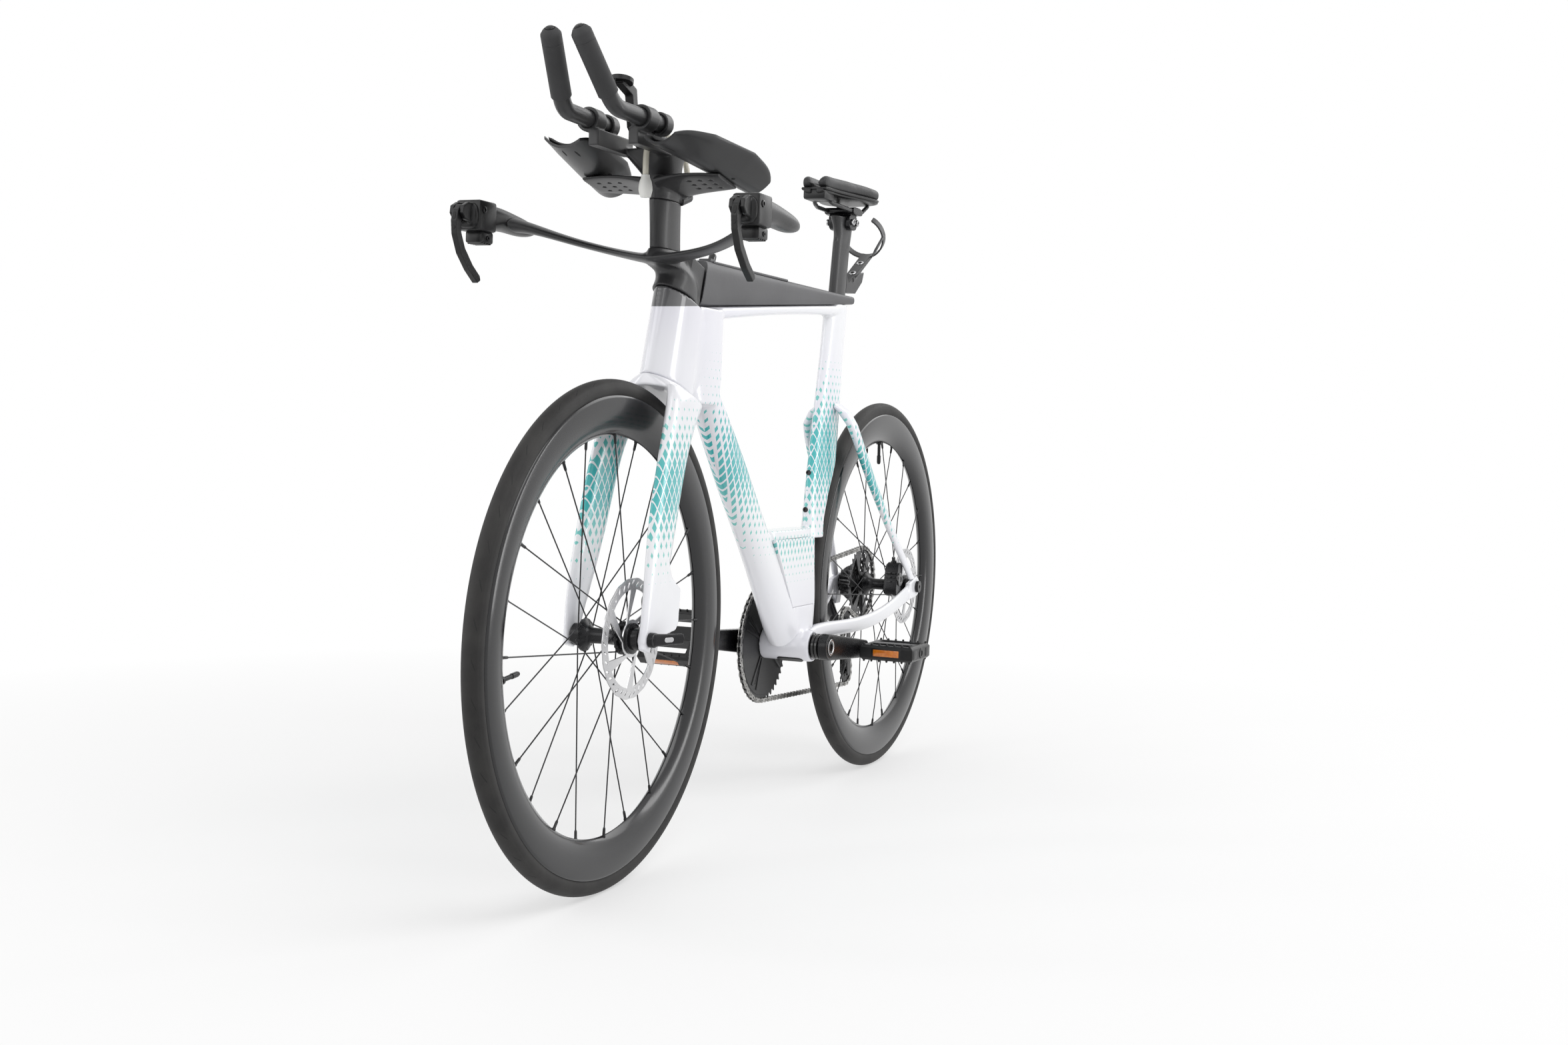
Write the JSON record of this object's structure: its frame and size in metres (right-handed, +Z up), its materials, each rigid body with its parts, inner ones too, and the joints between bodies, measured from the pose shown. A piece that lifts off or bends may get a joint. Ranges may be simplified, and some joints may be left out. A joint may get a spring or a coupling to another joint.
{
  "type": "time trial bicycle",
  "caption": "Aero time trial bicycle with deep wheels, disc brakes, a chain drive, base bar and arm extensions; steering, wheels, crank, levers and seat post move.",
  "frame": {"origin": "on the ground, midway between the two axles, on the bike's middle plane", "axes": "+X forward, +Y to the rider's left, +Z up"},
  "size_m": [1.731, 0.434, 1.1035],
  "materials": {
    "frame_paint": "pearl white lacquer over moulded carbon, with pale teal pinstripes",
    "carbon": "satin black moulded carbon",
    "black_plastic": "fine-grained moulded black plastic",
    "tyre_rubber": "smooth tread, finely ribbed shoulders",
    "rim_carbon": "satin deep-section carbon rim",
    "black_alloy": "black anodised, lightly worn at the edges",
    "steel": "brushed steel",
    "chain_steel": "oiled dark steel",
    "spoke_steel": "black oxide steel wire",
    "grip_rubber": "matt moulded grip rubber",
    "pad_foam": "black foam pad with a fine woven face",
    "saddle_cover": "black synthetic saddle cover with fine grain",
    "hose_clear": "milky translucent hose",
    "valve_rubber": "milky soft silicone"
  },
  "bodies": {
    "frame": {"main_frame": "frame_paint", "seat_stays": "frame_paint", "chain_stays": "frame_paint", "top_tube_cover": "carbon", "headset_bearings": "steel", "bb_bearings": "steel", "rear_axle": "black_alloy", "rear_caliper": "black_alloy", "derailleur_body": "black_plastic", "chain": "chain_steel"},
    "hatch": {"storage_hatch": "frame_paint"},
    "lid": {"storage_lid": "black_plastic"},
    "steering": {"fork": "frame_paint", "front_axle": "black_alloy", "front_caliper": "black_alloy", "base_bar": "carbon", "riser": "carbon", "extension_bridge": "black_alloy", "extensions": "carbon", "extension_grips": "grip_rubber", "arm_rests": "carbon", "arm_pads": "pad_foam", "computer_mount": "black_plastic", "drink_hose": "hose_clear", "bite_valve": "valve_rubber", "lever_hoods": "black_plastic"},
    "front_wheel": {"front_tyre": "tyre_rubber", "front_rim": "rim_carbon", "front_hub": "black_alloy", "front_hub_bearings": "steel", "front_rotor": "steel", "front_spokes": "spoke_steel", "front_valve": "black_alloy"},
    "rear_wheel": {"rear_tyre": "tyre_rubber", "rear_rim": "rim_carbon", "rear_hub": "black_alloy", "rear_hub_bearings": "steel", "rear_rotor": "steel", "rear_spokes": "spoke_steel", "rear_valve": "black_alloy"},
    "cassette": {"cassette": "chain_steel"},
    "crank": {"right_crank": "black_alloy", "left_crank": "black_alloy", "chainring": "chain_steel", "pedal_axles": "steel"},
    "left_pedal": {"left_pedal": "black_alloy"},
    "right_pedal": {"right_pedal": "black_alloy"},
    "seat": {"seatpost": "carbon", "saddle_clamp": "black_alloy", "saddle_rails": "carbon", "saddle_shell": "black_plastic", "saddle_pad": "saddle_cover", "bottle_cage": "black_plastic"},
    "left_lever": {"left_brake_lever": "black_alloy"},
    "right_lever": {"right_brake_lever": "black_alloy"},
    "left_button": {"left_bar_end_button": "grip_rubber"},
    "right_button": {"right_bar_end_button": "grip_rubber"},
    "cage": {"derailleur_cage": "black_alloy"},
    "guide_wheel": {"guide_wheel": "black_alloy"},
    "tension_wheel": {"tension_wheel": "black_alloy"}
  },
  "joints": [
    {"name": "steering_turn", "type": "hinge", "parent": "frame", "child": "steering", "pos_m": [0.48542, 0, 0.32514], "axis": [-0.2924, 0, 0.9563], "range_deg": [-40, 40]},
    {"name": "front_wheel_spin", "type": "hinge", "parent": "steering", "child": "front_wheel", "pos_m": [0.5275, 0, 0.338], "axis": [0, 1, 0], "continuous": true},
    {"name": "rear_wheel_spin", "type": "hinge", "parent": "frame", "child": "rear_wheel", "pos_m": [-0.5275, 0, 0.338], "axis": [0, 1, 0], "continuous": true},
    {"name": "crank_spin", "type": "hinge", "parent": "frame", "child": "crank", "pos_m": [-0.105, 0, 0.266], "axis": [0, 1, 0], "continuous": true, "deforming": ["chain"]},
    {"name": "cassette_spin", "type": "hinge", "parent": "frame", "child": "cassette", "pos_m": [-0.5275, 0, 0.338], "axis": [0, 1, 0], "continuous": true},
    {"name": "left_pedal_spin", "type": "hinge", "parent": "crank", "child": "left_pedal", "pos_m": [-0.27646, 0, 0.24707], "axis": [0, 1, 0], "continuous": true},
    {"name": "right_pedal_spin", "type": "hinge", "parent": "crank", "child": "right_pedal", "pos_m": [0.06646, 0, 0.28493], "axis": [0, 1, 0], "continuous": true},
    {"name": "cage_swing", "type": "hinge", "parent": "frame", "child": "cage", "pos_m": [-0.4635, -0.0295, 0.266], "axis": [0, 1, 0], "range_deg": [-15, 25], "stiffness_Nm_per_rad": 1.5, "deforming": ["chain"]},
    {"name": "guide_wheel_spin", "type": "hinge", "parent": "cage", "child": "guide_wheel", "pos_m": [-0.449, -0.0295, 0.272], "axis": [0, 1, 0], "continuous": true},
    {"name": "tension_wheel_spin", "type": "hinge", "parent": "cage", "child": "tension_wheel", "pos_m": [-0.4575, -0.0295, 0.181], "axis": [0, 1, 0], "continuous": true},
    {"name": "left_lever_pull", "type": "hinge", "parent": "steering", "child": "left_lever", "pos_m": [0.59274, 0.2, 0.89081], "axis": [0, 1, 0], "range_deg": [0, 20], "stiffness_Nm_per_rad": 2, "springref_deg": -5.73},
    {"name": "right_lever_pull", "type": "hinge", "parent": "steering", "child": "right_lever", "pos_m": [0.59274, -0.2, 0.89081], "axis": [0, 1, 0], "range_deg": [0, 20], "stiffness_Nm_per_rad": 2, "springref_deg": -5.73},
    {"name": "left_button_press", "type": "slide", "parent": "steering", "child": "left_button", "axis": [-0.6059, 0.1466, -0.7819], "range_m": [0, 0.002], "stiffness_N_per_m": 1200, "springref_m": -0.0005},
    {"name": "right_button_press", "type": "slide", "parent": "steering", "child": "right_button", "axis": [-0.6059, -0.1466, -0.7819], "range_m": [0, 0.002], "stiffness_N_per_m": 1200, "springref_m": -0.0005},
    {"name": "seat_height", "type": "slide", "parent": "frame", "child": "seat", "axis": [-0.1564, 0, 0.9877], "range_m": [0, 0.06]},
    {"name": "lid_open", "type": "hinge", "parent": "frame", "child": "lid", "pos_m": [-0.01385, 0, 0.85666], "axis": [0, -1, 0], "range_deg": [0, 110]},
    {"name": "hatch_pull", "type": "slide", "parent": "frame", "child": "hatch", "axis": [0, 1, 0], "range_m": [0, 0.03]}
  ],
  "couplings": [
    {"joint": "cassette_spin", "follows": "crank_spin", "ratio": 1.4545},
    {"joint": "guide_wheel_spin", "follows": "crank_spin", "ratio": -4},
    {"joint": "tension_wheel_spin", "follows": "crank_spin", "ratio": 4}
  ]
}
